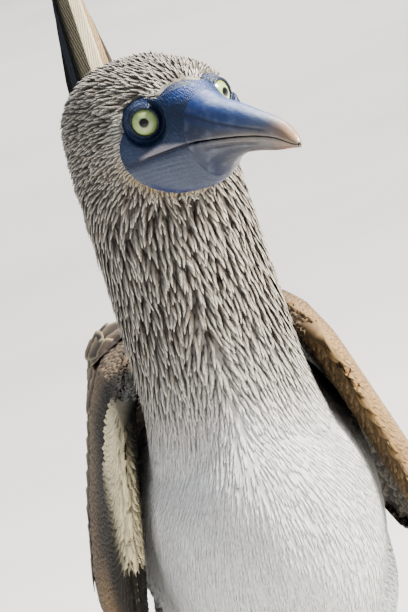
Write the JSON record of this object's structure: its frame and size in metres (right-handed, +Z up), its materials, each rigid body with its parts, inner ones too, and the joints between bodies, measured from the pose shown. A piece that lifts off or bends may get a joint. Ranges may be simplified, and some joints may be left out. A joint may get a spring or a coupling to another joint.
{
  "type": "standing blue footed booby model",
  "caption": "Life-size blue footed booby standing with an upright neck, head turned a little to its left, folded wings held slightly off and tail raised.",
  "frame": {"origin": "on the floor, under the middle of the bounding box", "axes": "+Z up, -Y the way the body faces, +X to the bird's left"},
  "size_m": [0.1742, 0.5606, 0.456],
  "materials": {
    "plumage_cream": "streaked cream and brown lance-shaped feathers of the head and neck",
    "plumage_white": "dense white body feathers",
    "wing_coverts": "brown coverts with pale edges",
    "flight_feathers": "dark brown flight feathers",
    "tail_feathers": "brown and cream tail feathers",
    "face_skin": "bare slate-blue skin, finely wrinkled",
    "bill": "grey-blue horn with a pale tip",
    "eye": "wet yellow-green iris under a clear cornea",
    "foot_skin": "bright blue scaled skin, webbed"
  },
  "bodies": {
    "root": {"head": "plumage_cream", "face_skin": "face_skin", "throat_skin": "face_skin", "bill_upper": "bill", "bill_lower": "bill", "eye_left": "eye", "eye_right": "eye", "neck_upper": "plumage_cream", "neck_lower": "plumage_cream", "torso": "plumage_white", "rump": "plumage_white", "tail": "tail_feathers", "thigh_left": "plumage_white", "thigh_right": "plumage_white", "tarsus_left": "foot_skin", "tarsus_right": "foot_skin", "foot_left": "foot_skin", "foot_right": "foot_skin", "wing_coverts_left": "wing_coverts", "wing_coverts_right": "wing_coverts", "wing_secondaries_left": "flight_feathers", "wing_secondaries_right": "flight_feathers", "wing_primaries_left": "flight_feathers", "wing_primaries_right": "flight_feathers"}
  },
  "joints": []
}
